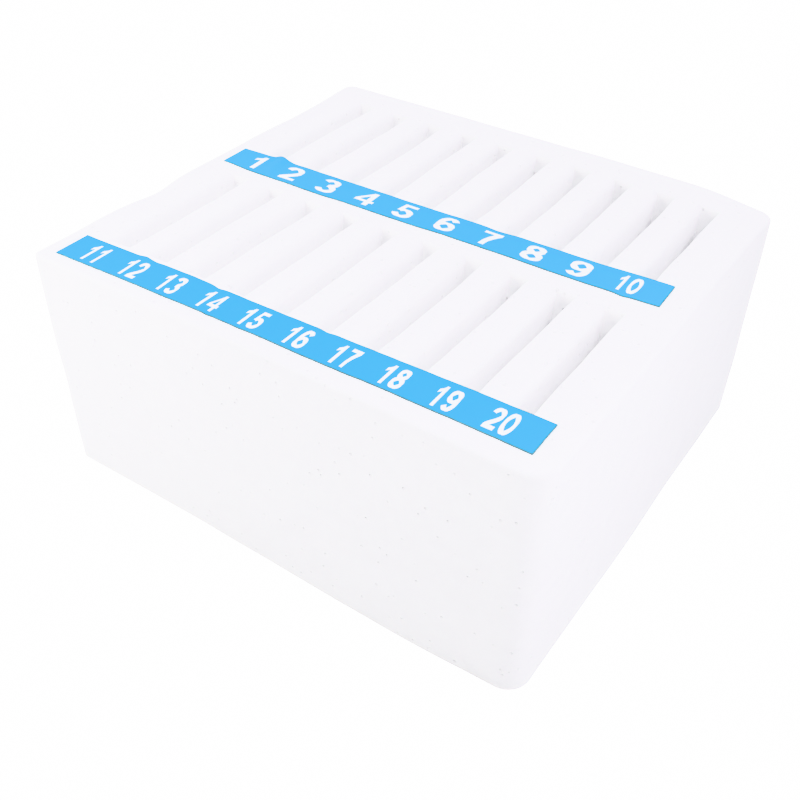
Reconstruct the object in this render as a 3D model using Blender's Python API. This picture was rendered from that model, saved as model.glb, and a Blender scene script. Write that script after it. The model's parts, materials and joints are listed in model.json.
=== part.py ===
"""Foam slot tray: a block of laminated white foam sheets with two rows of ten upright pockets.

A solid base sheet closes the pockets from below. Four slotted sheets lie on it, and two
printed number strips are stuck on top, one in front of each row of pockets.
Metres, +Z up. The origin is the middle of the underside, and the tray's front faces -Y.
"""

import math

import bmesh
import bpy

MM = 0.001

# The block
WIDTH = 278 * MM  # along X
DEPTH = 254 * MM  # along Y, front to back
BASE_THICKNESS = 30 * MM
SHEET_THICKNESS = 25 * MM
SHEET_COUNT = 4
SEAM_GAP = 0.3 * MM
# Radii of the upright corners: back right, back left, front left, front right
CORNER_RADII = (8 * MM, 6 * MM, 3 * MM, 12 * MM)
CORNER_STEPS = 6
TOP_EDGE_RADIUS = 2 * MM  # round the rim of the uppermost sheet
TOP_EDGE_STEPS = 3

# The pockets
POCKETS_PER_ROW = 10
POCKET_PITCH = 24.5 * MM
POCKET_WIDTH = 9.6 * MM  # along X
POCKET_LENGTH = 84 * MM  # along Y
POCKET_CORNER_RADIUS = 1.5 * MM
POCKET_CORNER_STEPS = 2
FRONT_ROW_START = 31 * MM  # from the block's front face to the front row's near ends
REAR_ROW_START = 147 * MM
LIP_SOFTENING = 1.2 * MM  # the small bevel round each pocket's mouth
CUTTER_OVERRUN = 5 * MM  # of the pocket cutter above the block

# The number strips
STRIP_LENGTH = 256 * MM
STRIP_WIDTH = 19.8 * MM
STRIP_THICKNESS = 0.4 * MM
# Each strip's centre, and its turn about Z in degrees: they are stuck on by hand.
FRONT_STRIP = (-1.5 * MM, -107.7 * MM, 1.2)
REAR_STRIP = (-2.7 * MM, 10.6 * MM, 1.3)

# Surfaces: colour and roughness
FOAM_COLOUR = (0.93, 0.94, 0.95, 1.0)
FOAM_ROUGHNESS = 0.9
STRIP_BLUE = (0.051, 0.527, 0.965, 1.0)
STRIP_ROUGHNESS = 0.45
SHARP_ANGLE = 35  # degrees between two faces, above which their edge is drawn sharp

SLOTTED_BOTTOM = BASE_THICKNESS + SEAM_GAP
SLOTTED_STEP = SHEET_THICKNESS + SEAM_GAP
BLOCK_TOP = SLOTTED_BOTTOM + (SHEET_COUNT - 1) * SLOTTED_STEP + SHEET_THICKNESS


def clear_scene():
    for obj in list(bpy.data.objects):
        bpy.data.objects.remove(obj)


def make_material(name, colour, roughness):
    material = bpy.data.materials.new(name)
    material.use_nodes = True
    shader = material.node_tree.nodes["Principled BSDF"]
    shader.inputs["Base Color"].default_value = colour
    shader.inputs["Roughness"].default_value = roughness
    shader.inputs["Metallic"].default_value = 0.0
    material.diffuse_color = colour
    return material


def rounded_rectangle(width, depth, radii, steps):
    """The outline's points, anticlockwise from the back right corner, with an arc at each corner."""
    points = []
    for quarter, (side_x, side_y) in enumerate(((1, 1), (-1, 1), (-1, -1), (1, -1))):
        radius = radii[quarter]
        centre_x = side_x * (width / 2 - radius)
        centre_y = side_y * (depth / 2 - radius)
        for step in range(steps + 1):
            angle = (quarter + step / steps) * math.pi / 2
            points.append((centre_x + radius * math.cos(angle), centre_y + radius * math.sin(angle)))
    return points


def add_rings(bm, rings):
    """A closed body through rings of equal point count, from the lowest up, capped at both ends."""
    loops = [[bm.verts.new(point) for point in ring] for ring in rings]
    for lower, upper in zip(loops, loops[1:]):
        for index in range(len(lower)):
            following = (index + 1) % len(lower)
            bm.faces.new((lower[index], lower[following], upper[following], upper[index]))
    bm.faces.new(reversed(loops[0]))
    bm.faces.new(loops[-1])


def ring_at(outline, height, centre=(0.0, 0.0)):
    return [(x + centre[0], y + centre[1], height) for x, y in outline]


def make_object(name, bm, material):
    mesh = bpy.data.meshes.new(name)
    bm.to_mesh(mesh)
    bm.free()
    mesh.shade_smooth()
    mesh.set_sharp_from_angle(angle=math.radians(SHARP_ANGLE))
    obj = bpy.data.objects.new(name, mesh)
    if material:
        mesh.materials.append(material)
    bpy.context.collection.objects.link(obj)
    return obj


def sheet_outline(inset):
    radii = [radius - inset for radius in CORNER_RADII]
    return rounded_rectangle(WIDTH - 2 * inset, DEPTH - 2 * inset, radii, CORNER_STEPS)


def make_sheet(name, bottom, thickness, edge_radius, material):
    """A foam sheet; an edge radius rounds its upper rim."""
    bm = bmesh.new()
    rings = [ring_at(sheet_outline(0), bottom)]
    top = bottom + thickness
    if edge_radius:
        for step in range(TOP_EDGE_STEPS + 1):
            angle = step / TOP_EDGE_STEPS * math.pi / 2
            inset = edge_radius * (1 - math.cos(angle))
            rings.append(ring_at(sheet_outline(inset), top - edge_radius * (1 - math.sin(angle))))
    else:
        rings.append(ring_at(sheet_outline(0), top))
    add_rings(bm, rings)
    return make_object(name, bm, material)


def pocket_centres():
    """The pockets' centres from left to right, the rear row first, as they are numbered."""
    first = -(POCKETS_PER_ROW - 1) / 2 * POCKET_PITCH
    for start in (REAR_ROW_START, FRONT_ROW_START):
        y = start + POCKET_LENGTH / 2 - DEPTH / 2
        for column in range(POCKETS_PER_ROW):
            yield first + column * POCKET_PITCH, y


def pocket_outline(growth):
    radii = [POCKET_CORNER_RADIUS + growth] * 4
    width = POCKET_WIDTH + 2 * growth
    return rounded_rectangle(width, POCKET_LENGTH + 2 * growth, radii, POCKET_CORNER_STEPS)


def make_pocket_cutter():
    """All the pockets as one hidden cutter, which flares at the block's top to soften the lips."""
    bm = bmesh.new()
    straight = pocket_outline(0)
    flared = pocket_outline(LIP_SOFTENING)
    for centre in pocket_centres():
        rings = [ring_at(straight, SLOTTED_BOTTOM - SEAM_GAP / 2, centre)]
        rings.append(ring_at(straight, BLOCK_TOP - LIP_SOFTENING, centre))
        rings.append(ring_at(flared, BLOCK_TOP, centre))
        rings.append(ring_at(flared, BLOCK_TOP + CUTTER_OVERRUN, centre))
        add_rings(bm, rings)
    cutter = make_object("pocket_cutter", bm, None)
    cutter.hide_render = True
    cutter.display_type = "WIRE"
    return cutter


def cut_pockets(sheet, cutter):
    cut = sheet.modifiers.new("pockets", "BOOLEAN")
    cut.operation = "DIFFERENCE"
    cut.solver = "EXACT"
    cut.object = cutter


def make_strip(name, placing, material):
    """A thin flat strip lying just clear of the foam, turned a little about its own centre."""
    x, y, turn = placing
    bm = bmesh.new()
    half_length = STRIP_LENGTH / 2
    half_width = STRIP_WIDTH / 2
    corners = [
        (half_length, half_width),
        (-half_length, half_width),
        (-half_length, -half_width),
        (half_length, -half_width),
    ]
    add_rings(bm, [ring_at(corners, 0), ring_at(corners, STRIP_THICKNESS)])
    strip = make_object(name, bm, material)
    strip.location = (x, y, BLOCK_TOP + SEAM_GAP)
    strip.rotation_euler = (0, 0, math.radians(turn))
    return strip


def build():
    clear_scene()
    foam = make_material("white_foam", FOAM_COLOUR, FOAM_ROUGHNESS)
    print_blue = make_material("printed_strip", STRIP_BLUE, STRIP_ROUGHNESS)
    make_sheet("base_sheet", 0, BASE_THICKNESS, 0, foam)
    cutter = make_pocket_cutter()
    for number in range(1, SHEET_COUNT + 1):
        bottom = SLOTTED_BOTTOM + (number - 1) * SLOTTED_STEP
        edge_radius = TOP_EDGE_RADIUS if number == SHEET_COUNT else 0
        sheet = make_sheet(f"slotted_sheet_{number}", bottom, SHEET_THICKNESS, edge_radius, foam)
        cut_pockets(sheet, cutter)
    make_strip("number_strip_front", FRONT_STRIP, print_blue)
    make_strip("number_strip_rear", REAR_STRIP, print_blue)


build()
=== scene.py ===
"""Looks of the foam slot tray: soft foam sheets, two printed strips and their numerals.

Everything is in metres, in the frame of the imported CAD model. Sizes and places come from the
CAD nodes and from the record's openings, one for each pocket.
"""

import json
import math

import bmesh
import bpy
import numpy as np
from mathutils import Matrix, Vector


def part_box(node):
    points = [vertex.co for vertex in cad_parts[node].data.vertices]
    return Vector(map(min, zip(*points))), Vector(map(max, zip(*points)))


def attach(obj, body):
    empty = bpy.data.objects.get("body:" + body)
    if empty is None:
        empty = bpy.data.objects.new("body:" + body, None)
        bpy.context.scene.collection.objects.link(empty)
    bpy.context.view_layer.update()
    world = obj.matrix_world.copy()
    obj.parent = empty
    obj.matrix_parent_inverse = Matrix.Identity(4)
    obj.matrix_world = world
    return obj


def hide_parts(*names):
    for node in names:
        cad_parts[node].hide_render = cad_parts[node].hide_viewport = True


MM = 0.001
SHARP_ANGLE = 40.0  # degrees between two faces, above which their edge is drawn sharp

# The foam
# Radii of the block's upright corners
BACK_RIGHT, BACK_LEFT, FRONT_LEFT, FRONT_RIGHT = 8 * MM, 6 * MM, 3 * MM, 12 * MM
RIM_RADIUS = 2 * MM  # round the top of the block
FOOT_RADIUS = 1 * MM  # round its underside
LIP_LEFT, LIP_RIGHT = 3.5 * MM, 1.2 * MM  # round a pocket's mouth, worn rounder where items rub
LIP_NEAR, LIP_FAR = 1.6 * MM, 2.4 * MM
FAR_FLARE = 2.5 * MM  # how far a pocket's far wall is worn back at its top
# Where the rim is crushed: x and y in halves of the block's width and depth, depth and reach
DENTS = ((1.0, 1.0, 5 * MM, 26 * MM), (-1.0, -0.36, 2.5 * MM, 15 * MM))
BACK_RISE = 1.2 * MM  # of the top towards the rear edge
FOOT_BULGE = (60 * MM, 55 * MM, 2.2 * MM)  # of the front face's foot: place, reach and size
FOOT_ZONE = 45 * MM  # height of the bulge
TOP_ZONE = 20 * MM  # depth below the top that the top's own unevenness reaches
FLARE_REACH = 9 * MM  # of a far wall's wear, to either side of it
LIP_WANDER, LIP_WAVELENGTH = 0.25 * MM, 10 * MM
DIVIDER_LEAN = 1.0 * MM  # at most, of the wall between two pockets
DIVIDER_MARGIN = 4 * MM  # of a leaning wall's zone, beyond the wall itself
SEAM_GAP = 0.01 * MM  # left open between two welded sheets
CAD_GAP = 0.3 * MM  # between two sheets of the CAD model
OPENING_MARGIN = 0.2 * MM  # an opening's box stops this far short of the foam
OPENING_NEAR_MARGIN = 3.4 * MM  # and this far at its near end, beside a strip
FINE_SPACING = 1.6 * MM  # between the mesh lines of the uppermost sheet, along Y
HEIGHT_SPACING = 2.2 * MM  # and up its height
COARSE_SPACING = 4.5 * MM  # in the other sheets
X_STRETCH = 1.6  # how much further apart the lines are along X
FILLET_STEPS = 3
CORNER_STEPS = 6
GRID_DIGITS = 7  # decimals to which a mesh line's place is rounded
TOUCHING = 1e-7  # two places closer than this are the same

# The strips
STRIP_LIFT = 0.05 * MM  # of the strip's underside above the foam
STRIP_THICKNESS = 0.4 * MM
STRIP_BORDER = 0.42 * MM  # painted shade: the dark line along the cut edge
STRIP_SPACING = 1.5 * MM
EDGE_APART = 50 * MM  # from the middle line to where an edge reads its noise, so that they differ
CUT_WANDER = ((0.13 * MM, 9 * MM), (0.1 * MM, 3.5 * MM))  # of the cut edges: size and wavelength
# Where a strip stands off the foam: centre and reach along it, height, edge (1 is the rear one)
REAR_BUMPS = ((27.5 * MM, 4.5 * MM, 2.0 * MM, 1),)
FRONT_BUMPS = ()
# Where a cut edge swings out of line: centre and reach along it, size, edge
REAR_KINKS = (
    (0 * MM, 18 * MM, 1.6 * MM, -1),
    (164 * MM, 6 * MM, -0.8 * MM, 1),
    (238 * MM, 3 * MM, -0.8 * MM, -1),
)
FRONT_KINKS = (
    (39 * MM, 2.5 * MM, 0.8 * MM, 1),
    (47 * MM, 3 * MM, -0.5 * MM, 1),
    (85 * MM, 3 * MM, -0.8 * MM, 1),
    (94 * MM, 2 * MM, -0.4 * MM, -1),
    (147 * MM, 3 * MM, -0.6 * MM, 1),
    (256 * MM, 26 * MM, -1.1 * MM, -1),
)

# The numerals
NUMBER_COUNT = 10  # on a strip
NUMERAL_HEIGHT = 13.9 * MM
# From a strip's left end to its first number, the pitch, how far the middle numbers are shifted
# along the strip, and how far all of them are shifted across it
REAR_NUMBERS = (17.3 * MM, 24.4 * MM, -0.5 * MM, 0.0)
FRONT_NUMBERS = (16.5 * MM, 24.53 * MM, -1.6 * MM, -0.6 * MM)
WIDE_SCALE = 16.3 * MM  # how wide one unit of a glyph is drawn in a one-figure number
NARROW_SCALE = 8.15 * MM  # and in a two-figure number
JITTER_ALONG, JITTER_ACROSS = 0.2 * MM, 0.15 * MM
NUMERAL_PROUD = 0.03 * MM  # half the thickness of the print
CUT_TOLERANCE = 1e-9  # of the cuts that let a numeral follow its strip
# In units of a glyph, which is 0.7 wide and 1 high
FIGURE_WIDTH = 0.7
FIGURE_ADVANCE = 0.776
STEM = 0.18  # thickness of an upright stroke
BAR = 0.15  # thickness of a level stroke
WELD_DISTANCE = 1e-5  # between points of a glyph that are joined

# The camera and the light
CAMERA_AT = (0.2412, -0.3751, 0.3836)
CAMERA_AIM = (0.0680, -0.1176, 0.1312)
CAMERA_ROLL = 0.85  # degrees
CAMERA_LENS = 45.48
SENSOR = 36.0
FRONT_TINT = (0.994, 0.989, 1.0)
OVERHEAD_TINT = (0.96, 0.948, 1.0)
SOFTBOX_SPREAD = 50  # degrees across the sky
FILL_SPREAD = 35
SKY_STRENGTH = 0.08
FLOOR_HALF = 4.0

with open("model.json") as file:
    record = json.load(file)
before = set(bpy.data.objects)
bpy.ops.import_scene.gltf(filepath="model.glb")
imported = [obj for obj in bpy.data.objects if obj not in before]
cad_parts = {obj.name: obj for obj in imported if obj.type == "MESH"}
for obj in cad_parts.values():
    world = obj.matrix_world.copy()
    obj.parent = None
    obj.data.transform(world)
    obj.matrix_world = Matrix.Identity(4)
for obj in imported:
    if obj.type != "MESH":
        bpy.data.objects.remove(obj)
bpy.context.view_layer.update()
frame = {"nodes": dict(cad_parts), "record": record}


# ---------------------------------------------------------------- noise and relief


class SmoothNoise:
    """Repeating value noise from a seeded table, between -1 and 1."""

    SIZE = 32
    OFFSET = 101.3  # where in the table the block's middle reads it

    def __init__(self, seed):
        self.table = np.random.default_rng(seed).uniform(-1, 1, (self.SIZE,) * 3)

    def __call__(self, points, wavelength):
        place = points / wavelength + self.OFFSET
        cell = np.floor(place).astype(int)
        part = place - cell
        part = part * part * (3 - 2 * part)
        total = np.zeros(len(points))
        for corner in np.ndindex(2, 2, 2):
            index = (cell + corner) % self.SIZE
            weight = np.ones(len(points))
            for axis in range(3):
                weight *= part[:, axis] if corner[axis] else 1 - part[:, axis]
            total += weight * self.table[index[:, 0], index[:, 1], index[:, 2]]
        return total


NOISE_X = SmoothNoise(11)
NOISE_Y = SmoothNoise(12)
NOISE_Z = SmoothNoise(13)
DIVIDER_BENDS = np.random.default_rng(14).uniform(-1, 1, (2, 16))  # two rows, walls to spare
# Terms of smooth noise, each with its size and wavelength
SIDE_WANDER_X = ((NOISE_X, 0.55 * MM, 62 * MM), (NOISE_Y, 0.28 * MM, 23 * MM))
SIDE_WANDER_Y = ((NOISE_Y, 0.55 * MM, 57 * MM), (NOISE_Z, 0.28 * MM, 21 * MM))
TOP_WANDER = (
    (NOISE_Z, 0.45 * MM, 48 * MM),
    (NOISE_X, 0.2 * MM, 19 * MM),
    (NOISE_Y, 0.06 * MM, 6 * MM),
)


def smoothstep(value):
    """0 below 0, 1 above 1, and a smooth rise between them."""
    value = np.clip(value, 0, 1)
    return value * value * (3 - 2 * value)


def wander(points, terms):
    """Several terms of smooth noise added together."""
    return sum(size * noise(points, wavelength) for noise, size, wavelength in terms)


def read_pockets():
    """The pockets' plan rectangles (x0, y0, x1, y1), from the record's openings."""
    found = []
    for opening in frame["record"]["physics"]["openings"]:
        low, high = opening["box_m"]
        near = low[1] - OPENING_NEAR_MARGIN
        far = high[1] + OPENING_MARGIN
        found.append((low[0] - OPENING_MARGIN, near, high[0] + OPENING_MARGIN, far))
    return np.array(found)


POCKETS = read_pockets()
POCKET_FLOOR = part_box("base_sheet")[1].z
BLOCK_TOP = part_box("slotted_sheet_4")[1].z
BLOCK_LOW, BLOCK_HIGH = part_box("base_sheet")
HALF_WIDTH = (BLOCK_HIGH.x - BLOCK_LOW.x) / 2
HALF_DEPTH = (BLOCK_HIGH.y - BLOCK_LOW.y) / 2
ROWS = sorted({(round(p[1], 5), round(p[3], 5)) for p in POCKETS})
COLUMNS = sorted({(round(p[0], 5), round(p[2], 5)) for p in POCKETS})


def toward_face(distance, share):
    """0 over most of the block, then rising to 1 over the last share of the way to a face."""
    return smoothstep((distance / HALF_DEPTH - 1) / share + 1)


def top_swell(points):
    """How far the top lies above its true height, with its crushed places."""
    swell = wander(points * (1, 1, 0), TOP_WANDER)
    swell += BACK_RISE * toward_face(points[:, 1], 1 / 3)
    for across, along, depth, reach in DENTS:
        away = np.hypot(points[:, 0] - across * HALF_WIDTH, points[:, 1] - along * HALF_DEPTH)
        swell -= depth * np.exp(-((away / reach) ** 2))
    return swell


def far_wall_flare(points):
    """How far the tops of the pockets' far walls are worn back."""
    flare = np.zeros(len(points))
    for _, far in ROWS:
        flare += FAR_FLARE * (1 - smoothstep(np.abs(points[:, 1] - far) / FLARE_REACH))
    return flare


def foot_bulge(points):
    """How far the front face stands out at its foot."""
    place, reach, size = FOOT_BULGE
    bulge = size * np.exp(-(((points[:, 0] - place) / reach) ** 2))
    return bulge * toward_face(-points[:, 1], 1 / 4) * (1 - smoothstep(points[:, 2] / FOOT_ZONE))


def divider_bend(points):
    """How far the walls between the pockets lean sideways, most at the middle of their top edge."""
    height = smoothstep((points[:, 2] - POCKET_FLOOR) / (BLOCK_TOP - POCKET_FLOOR))
    lean = np.zeros(len(points))
    for row, (near, far) in enumerate(ROWS):
        along = np.clip((points[:, 1] - near) / (far - near), 0, 1)
        bow = np.sin(math.pi * along)
        for index, (left, right) in enumerate(zip(COLUMNS, COLUMNS[1:])):
            inside = points[:, 0] > left[1] - DIVIDER_MARGIN
            inside &= points[:, 0] < right[0] + DIVIDER_MARGIN
            lean += inside * bow * DIVIDER_BENDS[row, index] * DIVIDER_LEAN
    return lean * height


def foam_relief(points):
    """Moves points of the true block to where the uneven, slightly slack foam really is."""
    near_top = smoothstep((points[:, 2] - (BLOCK_TOP - TOP_ZONE)) / TOP_ZONE)
    moved = points.copy()
    moved[:, 0] += wander(points, SIDE_WANDER_X) + divider_bend(points)
    moved[:, 0] += near_top * LIP_WANDER * NOISE_Z(points, LIP_WAVELENGTH)
    moved[:, 1] += wander(points, SIDE_WANDER_Y) + near_top * far_wall_flare(points)
    moved[:, 1] -= foot_bulge(points)
    moved[:, 2] += near_top * top_swell(points)
    return moved


# ---------------------------------------------------------------- meshes


def grid_lines(low, high, stops, fillets, spacing):
    """Sorted line positions from low to high: the stops, close lines for each fillet, and filling."""
    lines = set()
    for stop, radius, side in fillets:
        for step in range(FILLET_STEPS + 1):
            lines.add(round(stop + side * radius * step / FILLET_STEPS, GRID_DIGITS))
    lines |= {round(value, GRID_DIGITS) for value in (low, high, *stops)}
    ordered = sorted(lines)
    filled = [ordered[0]]
    for after in ordered[1:]:
        before = filled[-1]
        count = max(1, round((after - before) / spacing))
        filled += [before + (after - before) * step / count for step in range(1, count)]
        filled.append(after)
    return np.array(filled)


def in_pocket(x, y):
    """Whether each cell centre of the x by y grid is in a pocket."""
    hit = np.zeros((len(x), len(y)), bool)
    for x0, y0, x1, y1 in POCKETS:
        hit |= ((x > x0) & (x < x1))[:, None] & ((y > y0) & (y < y1))[None, :]
    return hit


def block_faces(solid, nz):
    """Quads over the outside of the solid cells of a grid, each seen anticlockwise from outside."""
    nx, ny = solid.shape
    padded = np.zeros((nx + 2, ny + 2), bool)
    padded[1:-1, 1:-1] = solid
    quads = []
    i, j = np.nonzero(solid)
    for k, order in ((nz - 1, (0, 1, 2, 3)), (0, (3, 2, 1, 0))):
        corners = [(i, j), (i + 1, j), (i + 1, j + 1), (i, j + 1)]
        quads.append(np.stack([np.stack([*corners[c], np.full_like(i, k)], -1) for c in order], 1))
    sides = (
        ((1, 0), (1, 0), (1, 1)),
        ((-1, 0), (0, 1), (0, 0)),
        ((0, 1), (1, 1), (0, 1)),
        ((0, -1), (0, 0), (1, 0)),
    )
    for (dx, dy), first, second in sides:
        open_side = solid & ~padded[1 + dx : 1 + dx + nx, 1 + dy : 1 + dy + ny]
        i, j = np.nonzero(open_side)
        for k in range(nz - 1):
            low, high = np.full_like(i, k), np.full_like(i, k + 1)
            a = np.stack([i + first[0], j + first[1], low], -1)
            b = np.stack([i + second[0], j + second[1], low], -1)
            c = np.stack([i + second[0], j + second[1], high], -1)
            d = np.stack([i + first[0], j + first[1], high], -1)
            quads.append(np.stack([a, b, c, d], 1))
    return np.concatenate(quads)


def round_edge(distance, depth, radius):
    """(new distance from the side, new depth) of a point on the top or the side of a rounded edge."""
    if not radius:
        return distance, depth
    near = (distance < radius) & (depth < radius)
    angle = math.pi / 4 * (1 - distance / radius + depth / radius)
    return (
        np.where(near, radius * (1 - np.sin(angle)), distance),
        np.where(near, radius * (1 - np.cos(angle)), depth),
    )


CORNERS = (
    (BACK_RIGHT, 1, 1),
    (BACK_LEFT, -1, 1),
    (FRONT_LEFT, -1, -1),
    (FRONT_RIGHT, 1, -1),
)


def corner_radius(x, y):
    """The radius of the upright corner nearest to each point."""
    right = np.where(y > 0, BACK_RIGHT, FRONT_RIGHT)
    left = np.where(y > 0, BACK_LEFT, FRONT_LEFT)
    return np.where(x > 0, right, left)


def round_outline(x, y, inset):
    """Moves points of nested rectangles onto nested rectangles with round corners."""
    radius = corner_radius(x, y)
    u = (np.abs(x) - (HALF_WIDTH - radius)) / radius
    v = (np.abs(y) - (HALF_DEPTH - radius)) / radius
    corner = (u > 0) & (v > 0)
    far = np.where(corner, np.maximum(u, v), 1.0)
    turn = math.pi / 4 * np.where(u >= v, v / far, 2 - u / far)
    reach = radius - inset
    corner_x = HALF_WIDTH - radius + reach * np.cos(turn)
    corner_y = HALF_DEPTH - radius + reach * np.sin(turn)
    flat_x = np.where(u >= v, HALF_WIDTH - inset, np.abs(x))
    flat_y = np.where(u >= v, np.abs(y), HALF_DEPTH - inset)
    return (
        np.sign(x) * np.where(corner, corner_x, flat_x),
        np.sign(y) * np.where(corner, corner_y, flat_y),
    )


def shape_outer_edges(points, bottom, top, top_radius, bottom_radius):
    """Rounds the upright corners of the block and the edges round a sheet's top and bottom."""
    x, y, z = points.T
    inset = np.minimum(HALF_WIDTH - np.abs(x), HALF_DEPTH - np.abs(y))
    upper, drop = round_edge(inset, top - z, top_radius)
    lower, rise = round_edge(inset, z - bottom, bottom_radius)
    middle = (top + bottom) / 2
    new_inset = np.where(z > middle, upper, lower)
    new_z = np.where(z > middle, top - drop, bottom + rise)
    shaped = inset < corner_radius(x, y)
    new_x, new_y = round_outline(x, y, new_inset)
    return np.stack([np.where(shaped, new_x, x), np.where(shaped, new_y, y), new_z], -1)


def shape_lips(points, top):
    """Rounds the pockets' mouths, each side with its own radius."""
    moved = points.copy()
    depth = top - points[:, 2]
    for x0, y0, x1, y1 in POCKETS:
        low, high = np.array((x0, y0)), np.array((x1, y1))
        after_middle = points[:, :2] > (low + high) / 2
        radius = np.where(after_middle, (LIP_RIGHT, LIP_FAR), (LIP_LEFT, LIP_NEAR))
        foot = np.clip(points[:, :2], low, high)
        reach = np.abs(points[:, :2] - foot) / radius
        distance = np.linalg.norm(reach, axis=1)
        on_wall = np.minimum(points[:, :2] - low, high - points[:, :2]) < TOUCHING
        toward = np.where(distance[:, None] > TOUCHING, reach, on_wall)
        toward /= np.maximum(np.linalg.norm(toward, axis=1, keepdims=True), TOUCHING)
        tall = (radius * toward**2).sum(1)
        near = (distance < 1) & (depth < tall) & on_wall.any(1)
        angle = math.pi / 4 * (1 - distance[near] + depth[near] / tall[near])
        push = toward[near] * (1 - np.sin(angle))[:, None] * radius[near]
        moved[near, :2] = foot[near] + push * np.where(after_middle[near], 1, -1)
        moved[near, 2] = top - tall[near] * (1 - np.cos(angle))
    return moved


def mesh_piece(name, points, faces, materials, face_materials=None):
    """A smooth-shaded object from points and quads, leaving out points that no face uses."""
    used, index = np.unique(faces, return_inverse=True)
    mesh = bpy.data.meshes.new(name)
    mesh.from_pydata(points[used].tolist(), [], index.reshape(faces.shape).tolist())
    for material in materials:
        mesh.materials.append(material)
    if face_materials is not None:
        mesh.polygons.foreach_set("material_index", face_materials)
    mesh.shade_smooth()
    mesh.update()
    mesh.set_sharp_from_angle(angle=math.radians(SHARP_ANGLE))
    piece = bpy.data.objects.new(name, mesh)
    bpy.context.collection.objects.link(piece)
    return piece


def sheet_grid(bottom, top, has_pockets, is_top, top_radius, bottom_radius):
    """The mesh lines of a sheet along X, Y and Z, close together where an edge is rounded."""
    fillets_x = [(side * HALF_WIDTH, top_radius, -side) for side in (-1, 1)]
    fillets_y = [(side * HALF_DEPTH, top_radius, -side) for side in (-1, 1)]
    fillets_z = [(top, top_radius, -1), (bottom, bottom_radius, 1)]
    stops_x, stops_y = [], []
    for radius, side_x, side_y in CORNERS:
        for step in range(1, CORNER_STEPS + 1):
            inset = radius * step / CORNER_STEPS
            if inset > top_radius:
                stops_x.append(side_x * (HALF_WIDTH - inset))
                stops_y.append(side_y * (HALF_DEPTH - inset))
    if has_pockets:
        stops_x += [side for column in COLUMNS for side in column]
        stops_y += [side for row in ROWS for side in row]
    if is_top:
        for x0, x1 in COLUMNS:
            fillets_x += [(x0, LIP_LEFT, -1), (x1, LIP_RIGHT, 1)]
        for y0, y1 in ROWS:
            fillets_y += [(y0, LIP_NEAR, -1), (y1, LIP_FAR, 1)]
        fillets_z += [(top, radius, -1) for radius in (LIP_LEFT, LIP_RIGHT, LIP_NEAR, LIP_FAR)]
    spacing = FINE_SPACING if is_top else COARSE_SPACING
    height_spacing = HEIGHT_SPACING if is_top else COARSE_SPACING
    return (
        grid_lines(-HALF_WIDTH, HALF_WIDTH, stops_x, fillets_x, spacing * X_STRETCH),
        grid_lines(-HALF_DEPTH, HALF_DEPTH, stops_y, fillets_y, spacing),
        grid_lines(bottom, top, [], fillets_z, height_spacing),
    )


def grid_block(x, y, z, has_pockets):
    """(points, quads) of the outside of a block on these mesh lines, with or without its pockets."""
    solid = np.ones((len(x) - 1, len(y) - 1), bool)
    if has_pockets:
        solid = ~in_pocket((x[1:] + x[:-1]) / 2, (y[1:] + y[:-1]) / 2)
    quads = block_faces(solid, len(z))
    faces = (quads[..., 0] * len(y) + quads[..., 1]) * len(z) + quads[..., 2]
    used, faces_of_used = np.unique(faces, return_inverse=True)
    i, j, k = np.unravel_index(used, (len(x), len(y), len(z)))
    return np.stack([x[i], y[j], z[k]], -1), faces_of_used.reshape(faces.shape)


def foam_sheet(name, node, material, has_pockets, is_top, is_bottom):
    """One foam sheet, shaped over the same box as its CAD node."""
    low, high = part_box(node)
    growth = (CAD_GAP - SEAM_GAP) / 2
    bottom = low.z if is_bottom else low.z - growth
    top = high.z if is_top else high.z + growth
    top_radius = RIM_RADIUS if is_top else 0
    bottom_radius = FOOT_RADIUS if is_bottom else 0
    lines = sheet_grid(bottom, top, has_pockets, is_top, top_radius, bottom_radius)
    points, faces = grid_block(*lines, has_pockets)
    points = shape_outer_edges(points, bottom, top, top_radius, bottom_radius)
    if is_top:
        points = shape_lips(points, top)
    piece = mesh_piece(name, foam_relief(points), faces, [material])
    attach(piece, "root")
    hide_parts(node)


# ---------------------------------------------------------------- strips and numerals


class Strip:
    """Where a strip's CAD node lies in plan, and the lattice of the top of the draped strip."""

    def __init__(self, node):
        corners = {(round(v.co.x, 5), round(v.co.y, 5)) for v in frame["nodes"][node].data.vertices}
        ordered = np.array(sorted(corners))
        left, right = ordered[:2], ordered[2:]
        along = right.mean(0) - left.mean(0)
        self.length = float(np.linalg.norm(along))
        self.width = float(np.linalg.norm(left[1] - left[0]))
        self.centre = ordered.mean(0)
        self.along = along / self.length
        self.across = np.array((-self.along[1], self.along[0]))
        half = self.width / 2
        ends = [STRIP_BORDER, self.length - STRIP_BORDER]
        sides = [STRIP_BORDER - half, half - STRIP_BORDER]
        self.s = grid_lines(0, self.length, ends, [], STRIP_SPACING)
        self.t = grid_lines(-half, half, sides, [], STRIP_SPACING)
        self.top = None

    def plan(self, s, t):
        """Plan positions of points s from the left end and t from the middle line."""
        s = np.asarray(s)[:, None] - self.length / 2
        return self.centre + s * self.along + np.asarray(t)[:, None] * self.across

    def on_top(self, s, t):
        """Points of the draped top, between the points of its lattice."""
        i = np.clip(np.searchsorted(self.s, s) - 1, 0, len(self.s) - 2)
        j = np.clip(np.searchsorted(self.t, t) - 1, 0, len(self.t) - 2)
        u = ((s - self.s[i]) / (self.s[i + 1] - self.s[i]))[:, None]
        v = ((t - self.t[j]) / (self.t[j + 1] - self.t[j]))[:, None]
        near = self.top[i, j] * (1 - u) + self.top[i + 1, j] * u
        far = self.top[i, j + 1] * (1 - u) + self.top[i + 1, j + 1] * u
        return near * (1 - v) + far * v


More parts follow.
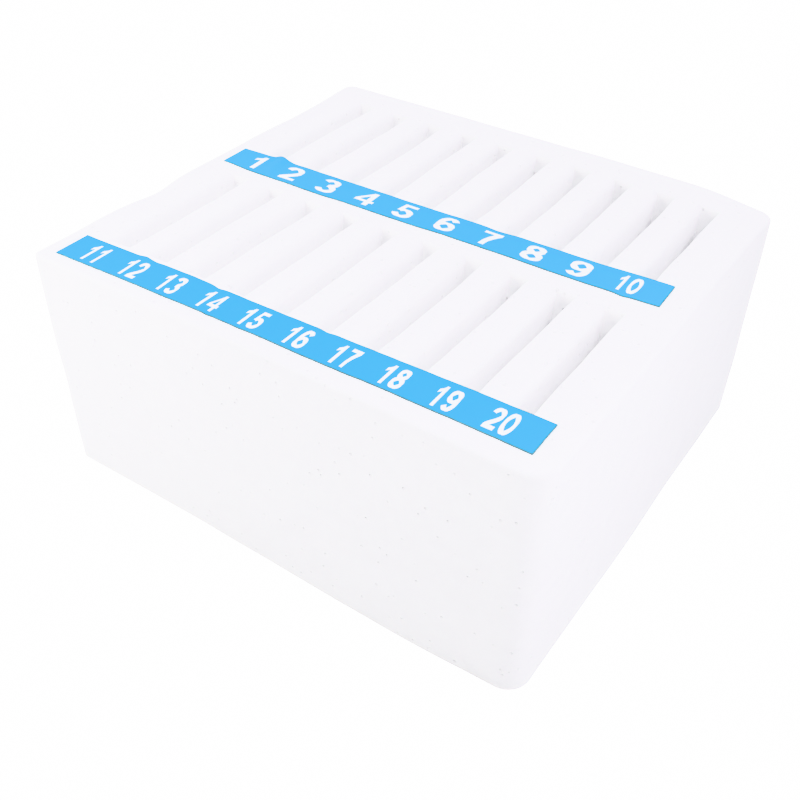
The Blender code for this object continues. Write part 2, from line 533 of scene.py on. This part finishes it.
def strip_lift(s, t, width, bumps):
    """How far the strip stands off the foam at its wrinkles."""
    lift = np.zeros(len(s))
    for centre, reach, height, edge in bumps:
        toward = smoothstep(0.5 + edge * t / width)
        lift += height * np.exp(-(((s - centre) / reach) ** 2)) * toward
    return lift


def strip_piece(name, node, materials, bumps, kinks, seed):
    """A thin strip that follows the foam, with its wrinkles and its slightly uneven cut edges."""
    strip = Strip(node)
    s, t = strip.s, strip.t
    half = strip.width / 2
    quads = block_faces(np.ones((len(s) - 1, len(t) - 1), bool), 2)
    faces = (quads[..., 0] * len(t) + quads[..., 1]) * 2 + quads[..., 2]
    count = len(s) * len(t) * 2
    i, j, k = np.unravel_index(np.arange(count), (len(s), len(t), 2))
    along, across = s[i].copy(), t[j].copy()
    noise = SmoothNoise(seed)
    edge_lines = np.stack([along, np.sign(across) * EDGE_APART, np.zeros(count)], -1)
    swing = wander(edge_lines, [(noise, size, wavelength) for size, wavelength in CUT_WANDER])
    for centre, reach, size, edge in kinks:
        swing += size * np.exp(-(((along - centre) / reach) ** 2)) * (np.sign(across) == edge)
    across = across + swing * smoothstep(np.abs(across) / half * 2 - 1)
    plan = strip.plan(along, across)
    points = np.column_stack([plan, np.full(count, BLOCK_TOP)])
    points = foam_relief(points)
    points[:, 2] += STRIP_LIFT + k * STRIP_THICKNESS
    points[:, 2] += strip_lift(along, across, strip.width, bumps)
    strip.top = points.reshape(len(s), len(t), 2, 3)[:, :, 1]
    # Upright sides and the rim band get the second material: painted shade along the strip's edge.
    upright = np.ptp(quads[..., 2], axis=1) > 0
    rim = (quads[..., 0].min(1) == 0) | (quads[..., 0].max(1) == len(s) - 1)
    rim |= (quads[..., 1].min(1) == 0) | (quads[..., 1].max(1) == len(t) - 1)
    piece = mesh_piece(name, points, faces, materials, (upright | rim).astype(int))
    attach(piece, "root")
    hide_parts(node)
    return strip


def ellipse_points(cx, cy, rx, ry, start, end, count=28):
    """Points along part of an ellipse, from one angle in degrees to another."""
    angles = np.radians(np.linspace(start, end, count))
    return np.stack([cx + rx * np.cos(angles), cy + ry * np.sin(angles)], -1)


def stroke_outline(path, closed=False):
    """The two sides of a pen stroke along a path; upright strokes come out thicker than level ones."""
    path = np.asarray(path, float)
    if closed:
        tangent = np.roll(path, -1, 0) - np.roll(path, 1, 0)
    else:
        tangent = np.gradient(path, axis=0)
    tangent /= np.linalg.norm(tangent, axis=1, keepdims=True)
    half = (STEM * np.abs(tangent[:, 1]) + BAR * np.abs(tangent[:, 0])) / 2
    normal = np.stack([-tangent[:, 1], tangent[:, 0]], -1) * half[:, None]
    return path + normal, path - normal


def stroke(path):
    """A pen stroke as one closed loop."""
    left, right = stroke_outline(path)
    return [np.concatenate([left, right[::-1]])]


def ring(cx, cy, rx, ry):
    """A closed pen stroke, as an outer and an inner loop."""
    path = ellipse_points(cx, cy, rx, ry, 0, 360, 45)[:-1]
    return list(stroke_outline(path, closed=True))


def box_shape(x0, y0, x1, y1):
    return [np.array([(x0, y0), (x1, y0), (x1, y1), (x0, y1)], float)]


def glyph_parts(figure):
    """The overlapping shapes that make up a figure, in a box 0.7 wide and 1 high."""
    if figure == "0":
        return [ring(0.35, 0.5, 0.25, 0.425)]
    if figure == "1":
        flag = [(0.3, 0), (0.5, 0), (0.5, 1), (0.34, 1), (0.27, 0.89), (0.1, 0.79)]
        flag += [(0.1, 0.61), (0.2, 0.65), (0.3, 0.72)]
        return [[np.array(flag)]]
    if figure == "2":
        hook = ellipse_points(0.345, 0.685, 0.235, 0.235, 172, -22, 24)
        sweep = [(0.52, 0.52), (0.42, 0.4), (0.3, 0.29), (0.19, 0.18), (0.12, 0.08)]
        return [stroke(np.concatenate([hook, sweep])), box_shape(0.03, 0, 0.66, 0.17)]
    if figure == "3":
        upper = ellipse_points(0.325, 0.735, 0.225, 0.185, 165, -95)
        lower = ellipse_points(0.335, 0.29, 0.25, 0.21, 100, -168)
        return [stroke(upper), stroke(lower)]
    if figure == "4":
        outer = [(0.4, 0), (0.59, 0), (0.59, 0.22), (0.7, 0.22), (0.7, 0.385), (0.59, 0.385)]
        outer += [(0.59, 1), (0.42, 1), (0, 0.38), (0, 0.22), (0.4, 0.22)]
        hole = [(0.4, 0.385), (0.4, 0.71), (0.18, 0.385)]
        return [[np.array(outer), np.array(hole)]]
    if figure == "5":
        back = [(0.13, 1), (0.05, 0.47), (0.22, 0.45), (0.27, 0.84), (0.27, 1)]
        bowl = ellipse_points(0.325, 0.325, 0.25, 0.245, 138, -168, 34)
        return [[np.array(back)], box_shape(0.13, 0.83, 0.62, 1), stroke(bowl)]
    if figure in "69":
        tail = ellipse_points(0.375, 0.5, 0.265, 0.42, 196, 40, 30)
        parts = [ring(0.36, 0.315, 0.24, 0.235), stroke(tail)]
        if figure == "9":
            parts = [[np.array((0.7, 1)) - loop for loop in part] for part in parts]
        return parts
    if figure == "7":
        leg = [(0.585, 0.9), (0.48, 0.75), (0.38, 0.55), (0.31, 0.32), (0.285, 0.0)]
        return [box_shape(0.04, 0.83, 0.67, 1), stroke(leg)]
    return [ring(0.35, 0.74, 0.21, 0.18), ring(0.35, 0.285, 0.25, 0.205)]


def plate_from_loops(name, loops):
    """A thin flat plate one unit thick, from an outline and any holes in it."""
    curve = bpy.data.curves.new(name, "CURVE")
    curve.dimensions = "2D"
    curve.fill_mode = "BOTH"
    curve.extrude = 0.5
    for loop in loops:
        spline = curve.splines.new("POLY")
        spline.points.add(len(loop) - 1)
        level, weight = np.zeros(len(loop)), np.ones(len(loop))
        spline.points.foreach_set("co", np.column_stack([loop, level, weight]).ravel())
        spline.use_cyclic_u = True
    holder = bpy.data.objects.new(name, curve)
    bpy.context.collection.objects.link(holder)
    bpy.context.view_layer.update()
    graph = bpy.context.evaluated_depsgraph_get()
    mesh = bpy.data.meshes.new_from_object(holder.evaluated_get(graph), depsgraph=graph)
    bpy.data.objects.remove(holder)
    plate = bpy.data.objects.new(name, mesh)
    bpy.context.collection.objects.link(plate)
    weld = plate.modifiers.new("weld", "WELD")
    weld.merge_threshold = WELD_DISTANCE
    return plate


def glyph_mesh(figure):
    """(points, faces) of one figure as a single closed plate."""
    parts = glyph_parts(figure)
    plates = [plate_from_loops(f"figure_{figure}_{n}", part) for n, part in enumerate(parts)]
    for other in plates[1:]:
        join = plates[0].modifiers.new("join", "BOOLEAN")
        join.operation = "UNION"
        join.object = other
    bpy.context.view_layer.update()
    graph = bpy.context.evaluated_depsgraph_get()
    mesh = plates[0].evaluated_get(graph).to_mesh()
    mesh.calc_loop_triangles()
    points = np.empty(len(mesh.vertices) * 3, np.float32)
    mesh.vertices.foreach_get("co", points)
    faces = np.empty(len(mesh.loop_triangles) * 3, np.int32)
    mesh.loop_triangles.foreach_get("vertices", faces)
    plates[0].evaluated_get(graph).to_mesh_clear()
    for plate in plates:
        bpy.data.objects.remove(plate)
    return points.reshape(-1, 3).astype(float), faces.reshape(-1, 3)


def cut_along(points, faces, s_lines, t_lines):
    """Triangles of a plate, cut wherever it crosses one of a strip's lattice lines."""
    work = bmesh.new()
    corners = [work.verts.new(point) for point in points]
    for face in faces:
        work.faces.new([corners[index] for index in face])
    low, high = points.min(0), points.max(0)
    for axis, lines in ((0, s_lines), (1, t_lines)):
        normal = [float(axis == 0), float(axis == 1), 0.0]
        for line in lines[(lines > low[axis]) & (lines < high[axis])]:
            everything = [*work.verts, *work.edges, *work.faces]
            place = [line * number for number in normal]
            bmesh.ops.bisect_plane(
                work, geom=everything, dist=CUT_TOLERANCE, plane_co=place, plane_no=normal
            )
    bmesh.ops.triangulate(work, faces=work.faces[:])
    work.verts.index_update()
    points = np.array([tuple(vertex.co) for vertex in work.verts])
    faces = np.array([[vertex.index for vertex in face.verts] for face in work.faces])
    work.free()
    return points, faces


def numerals_piece(name, strip, first, layout, glyphs, material, seed):
    """Ten printed numbers lying on a strip, as one thin piece."""
    begin, pitch, crowding, shift = layout
    jitter = np.random.default_rng(seed).uniform(-1, 1, (NUMBER_COUNT, 2))
    all_points, all_faces = [], []
    offset = 0
    for index in range(NUMBER_COUNT):
        figures = str(first + index)
        scale = WIDE_SCALE if len(figures) == 1 else NARROW_SCALE
        start = begin + index * pitch + jitter[index, 0] * JITTER_ALONG
        start += crowding * math.sin(math.pi * index / (NUMBER_COUNT - 1))
        start -= len(figures) * FIGURE_ADVANCE * scale / 2
        lift = shift + jitter[index, 1] * JITTER_ACROSS
        for position, figure in enumerate(figures):
            points, faces = glyphs[figure]
            bearing = (FIGURE_ADVANCE - FIGURE_WIDTH) / 2 + position * FIGURE_ADVANCE
            s = start + (points[:, 0] + bearing) * scale
            t = (points[:, 1] - 0.5) * NUMERAL_HEIGHT + lift
            placed = np.column_stack([s, t, points[:, 2]])
            placed, faces = cut_along(placed, faces, strip.s, strip.t)
            on_strip = strip.on_top(placed[:, 0], placed[:, 1])
            on_strip[:, 2] += np.where(placed[:, 2] > 0, NUMERAL_PROUD, -NUMERAL_PROUD)
            all_points.append(on_strip)
            all_faces.append(faces + offset)
            offset += len(on_strip)
    piece = mesh_piece(name, np.concatenate(all_points), np.concatenate(all_faces), [material])
    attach(piece, "root")


# ---------------------------------------------------------------- materials


class Nodes:
    """A short way to write a material's nodes."""

    def __init__(self, name):
        self.material = bpy.data.materials.new(name)
        self.material.use_nodes = True
        self.tree = self.material.node_tree
        self.shader = self.tree.nodes["Principled BSDF"]
        self.place = self.tree.nodes.new("ShaderNodeTexCoord").outputs["Object"]

    def add(self, kind, **settings):
        node = self.tree.nodes.new(kind)
        for key, value in settings.items():
            setattr(node, key, value)
        return node

    def link(self, source, target):
        self.tree.links.new(source, target)

    def noise(self, scale, detail=2.0, roughness=0.5):
        node = self.add("ShaderNodeTexNoise")
        node.inputs["Scale"].default_value = scale
        node.inputs["Detail"].default_value = detail
        node.inputs["Roughness"].default_value = roughness
        self.link(self.place, node.inputs["Vector"])
        return node.outputs["Fac"]

    def cells(self, scale):
        node = self.add("ShaderNodeTexVoronoi", feature="SMOOTH_F1")
        node.inputs["Scale"].default_value = scale
        node.inputs["Smoothness"].default_value = 0.35
        self.link(self.place, node.inputs["Vector"])
        return node.outputs["Distance"]

    def specks(self, scale):
        """Distance to sparse random points."""
        node = self.add("ShaderNodeTexVoronoi", feature="F1")
        node.inputs["Scale"].default_value = scale
        self.link(self.place, node.inputs["Vector"])
        return node.outputs["Distance"]

    def ramp(self, source, low, high, first, second):
        node = self.add("ShaderNodeMapRange")
        node.inputs["From Min"].default_value = low
        node.inputs["From Max"].default_value = high
        node.inputs["To Min"].default_value = first
        node.inputs["To Max"].default_value = second
        self.link(source, node.inputs["Value"])
        return node.outputs["Result"]

    def mix_colour(self, factor, first, second):
        node = self.add("ShaderNodeMix", data_type="RGBA")
        self.link(factor, node.inputs[0])
        node.inputs[6].default_value = (*first, 1)
        node.inputs[7].default_value = (*second, 1)
        return node.outputs[2]

    def scale_colour(self, colour, factor):
        node = self.add("ShaderNodeVectorMath", operation="SCALE")
        self.link(colour, node.inputs[0])
        self.link(factor, node.inputs["Scale"])
        return node.outputs[0]

    def bump(self, height, distance, strength, under=None):
        node = self.add("ShaderNodeBump")
        node.inputs["Distance"].default_value = distance
        node.inputs["Strength"].default_value = strength
        self.link(height, node.inputs["Height"])
        if under is not None:
            self.link(under, node.inputs["Normal"])
        return node.outputs["Normal"]

    def set(self, **values):
        for key, value in values.items():
            self.shader.inputs[key.replace("_", " ")].default_value = value


def foam_material(name, tint):
    """White expanded polyethylene: faint patches, small pits with painted shade darkening them, and a
    satin skin of closed cells.
    """
    n = Nodes(name)
    mottle = n.ramp(n.noise(120, 4, 0.65), 0.35, 0.65, 0, 1)
    light = (0.978 + tint, 0.976 + tint, 0.977 + tint)
    dark = (0.912 + tint, 0.91 + tint, 0.911 + tint)
    # Pits: dents in the relief, and the colour darkened in them is painted shade.
    pits_and_painted_pit_shade = n.ramp(n.specks(165), 0.06, 0.13, 0.9, 1)
    tone = n.scale_colour(n.mix_colour(mottle, dark, light), pits_and_painted_pit_shade)
    n.link(tone, n.shader.inputs["Base Color"])
    skin = n.bump(n.noise(280, 3), 0.3 * MM, 0.45)
    cells = n.bump(n.cells(760), 0.16 * MM, 0.4, skin)
    n.link(n.bump(pits_and_painted_pit_shade, 6 * MM, 1.0, cells), n.shader.inputs["Normal"])
    n.link(n.ramp(n.noise(420, 2), 0.3, 0.7, 0.55, 0.8), n.shader.inputs["Roughness"])
    n.set(Specular_IOR_Level=0.25)
    return n.material


def strip_material(name, first, second):
    """Blue print on a slightly glossy adhesive strip."""
    n = Nodes(name)
    n.link(n.mix_colour(n.noise(90, 3), first, second), n.shader.inputs["Base Color"])
    n.link(n.ramp(n.noise(700, 3), 0.3, 0.7, 0.36, 0.5), n.shader.inputs["Roughness"])
    n.link(n.bump(n.noise(1600, 2), 0.02 * MM, 0.3), n.shader.inputs["Normal"])
    n.set(Specular_IOR_Level=0.02)
    return n.material


def edge_shade_material():
    """The strip's cut edge and the narrow dark border beside it, both coloured dark as painted shade."""
    n = Nodes("strip_edge_painted_shade")
    # The painted shade varies at random between two dark tones.
    edge_shade_tone = n.ramp(n.noise(900, 3), 0.3, 0.7, 0, 1)
    n.link(n.mix_colour(edge_shade_tone, (0.035, 0.12, 0.16), (0.08, 0.18, 0.2)), n.shader.inputs["Base Color"])
    n.link(n.ramp(n.noise(1200, 2), 0.3, 0.7, 0.6, 0.9), n.shader.inputs["Roughness"])
    return n.material


def numeral_material():
    """White print."""
    n = Nodes("white_print")
    grain = n.ramp(n.noise(1400, 3), 0.3, 0.7, 0, 1)
    n.link(n.mix_colour(grain, (0.9, 0.93, 0.94), (0.95, 0.96, 0.96)), n.shader.inputs["Base Color"])
    n.link(n.ramp(n.noise(900, 2), 0.3, 0.7, 0.4, 0.55), n.shader.inputs["Roughness"])
    return n.material


def floor_materials():
    """What the camera sees of the floor, evenly lit like a light table, and what lights the block."""
    seen = Nodes("pale_floor")
    seen.set(Base_Color=(0, 0, 0, 1), Specular_IOR_Level=0.0, Emission_Color=(1, 1, 1, 1))
    seen.link(seen.ramp(seen.noise(3, 2), 0.3, 0.7, 18, 20), seen.shader.inputs["Emission Strength"])
    dull = Nodes("floor_bounce")
    tone = dull.ramp(dull.noise(3, 2), 0.3, 0.7, 0, 1)
    grey = dull.mix_colour(tone, (0.48, 0.48, 0.48), (0.5, 0.5, 0.5))
    dull.link(grey, dull.shader.inputs["Base Color"])
    dull.set(Roughness=0.9, Specular_IOR_Level=0.0)
    return seen.material, dull.material


# ---------------------------------------------------------------- stage


def make_floor():
    """A pale floor that shows white, over a duller one that only throws light back on the block."""
    seen, dull = floor_materials()
    corners = [(x * FLOOR_HALF, y * FLOOR_HALF, 0) for x, y in ((-1, -1), (1, -1), (1, 1), (-1, 1))]
    for name, material, height in (("floor", seen, -0.3 * MM), ("floor_bounce", dull, -0.6 * MM)):
        mesh = bpy.data.meshes.new(name)
        mesh.from_pydata(corners, [], [(0, 1, 2, 3)])
        mesh.materials.append(material)
        floor = bpy.data.objects.new(name, mesh)
        floor.location.z = height
        floor.visible_camera = material is seen
        floor.visible_diffuse = floor.visible_glossy = material is dull
        floor.visible_transmission = floor.visible_shadow = material is dull
        bpy.context.collection.objects.link(floor)


def make_camera():
    data = bpy.data.cameras.new("camera")
    data.lens = CAMERA_LENS
    data.sensor_width = SENSOR
    data.clip_start = 0.01
    camera = bpy.data.objects.new("camera", data)
    look = Vector(CAMERA_AIM) - Vector(CAMERA_AT)
    turn = look.to_track_quat("-Z", "Y").to_matrix().to_4x4()
    roll = Matrix.Rotation(math.radians(CAMERA_ROLL), 4, "Z")
    camera.matrix_world = Matrix.Translation(CAMERA_AT) @ turn @ roll
    bpy.context.collection.objects.link(camera)
    bpy.context.scene.camera = camera


def make_far_light(name, tint, azimuth, elevation, spread, power):
    """A large distant softbox. The angles are in degrees, and azimuth counts from +X towards +Y."""
    data = bpy.data.lights.new(name, "SUN")
    data.energy = power
    data.color = tint
    data.angle = math.radians(spread)
    light = bpy.data.objects.new(name, data)
    turn, rise = math.radians(azimuth), math.radians(elevation)
    level = math.cos(rise)
    toward = Vector((math.cos(turn) * level, math.sin(turn) * level, math.sin(rise)))
    light.matrix_world = toward.to_track_quat("Z", "Y").to_matrix().to_4x4()
    bpy.context.collection.objects.link(light)


def make_near_light(name, tint, place, aim, size, power):
    """A small softbox close to the block."""
    data = bpy.data.lights.new(name, "AREA")
    data.shape = "SQUARE"
    data.size = size
    data.color = tint
    data.energy = power
    light = bpy.data.objects.new(name, data)
    look = Vector(aim) - Vector(place)
    light.matrix_world = Matrix.Translation(place) @ look.to_track_quat("-Z", "Y").to_matrix().to_4x4()
    light.visible_camera = False
    bpy.context.collection.objects.link(light)


def make_light():
    scene = bpy.context.scene
    world = bpy.data.worlds.new("studio")
    scene.world = world
    world.use_nodes = True
    sky = world.node_tree.nodes["Background"]
    sky.inputs["Color"].default_value = (*FRONT_TINT, 1)
    sky.inputs["Strength"].default_value = SKY_STRENGTH
    make_far_light("softbox_rear", OVERHEAD_TINT, 135, 50, SOFTBOX_SPREAD, 4.1)
    make_far_light("softbox_rear_right", OVERHEAD_TINT, 45, 50, SOFTBOX_SPREAD, 1.5)
    make_far_light("softbox_front_right", OVERHEAD_TINT, 315, 50, SOFTBOX_SPREAD, 0.85)
    make_far_light("fill_right", OVERHEAD_TINT, 0, 18, FILL_SPREAD, 0.98)
    make_far_light("fill_front", FRONT_TINT, 270, 18, FILL_SPREAD, 0.1)
    make_near_light("fill_left_front", FRONT_TINT, (-0.3, -0.4, 0.27), (-0.07, -0.12, 0.11), 0.22, 2.65)
    make_near_light("fill_near_right", OVERHEAD_TINT, (0.29, -0.07, 0.18), (0.13, -0.07, 0.12), 0.12, 0.33)
    make_near_light("fill_near_corner", FRONT_TINT, (0.3, -0.28, 0.26), (0.13, -0.12, 0.11), 0.16, 0.36)
    scene.cycles.diffuse_bounces = 12
    scene.view_settings.view_transform = "Khronos PBR Neutral"


# ---------------------------------------------------------------- the whole object


def build():
    foams = [foam_material(f"foam_{n}", tint) for n, tint in enumerate((0, 0.004, -0.004))]
    foam_sheet("foam_base", "base_sheet", foams[0], False, False, True)
    for number in (1, 2, 3, 4):
        node = f"slotted_sheet_{number}"
        foam_sheet(f"foam_slotted_{number}", node, foams[number % 3], True, number == 4, False)
    edge = edge_shade_material()
    # One blue in two copies: the rear strip's is painted lighter and the front strip's darker, as painted
    # light and shade between the strips.
    rear_blue_lit = strip_material("strip_blue_rear_lit", (0.002, 0.45, 0.86), (0.005, 0.462, 0.875))
    front_blue_shaded = strip_material("strip_blue_front_shaded", (0.001, 0.367, 0.7), (0.003, 0.379, 0.715))
    rear = strip_piece(
        "strip_rear", "number_strip_rear", [rear_blue_lit, edge], REAR_BUMPS, REAR_KINKS, 31
    )
    front = strip_piece(
        "strip_front", "number_strip_front", [front_blue_shaded, edge], FRONT_BUMPS, FRONT_KINKS, 32
    )
    glyphs = {figure: glyph_mesh(figure) for figure in "0123456789"}
    print_white = numeral_material()
    numerals_piece("numerals_rear", rear, 1, REAR_NUMBERS, glyphs, print_white, 41)
    numerals_piece("numerals_front", front, 11, FRONT_NUMBERS, glyphs, print_white, 42)


make_camera()
make_light()
make_floor()
build()
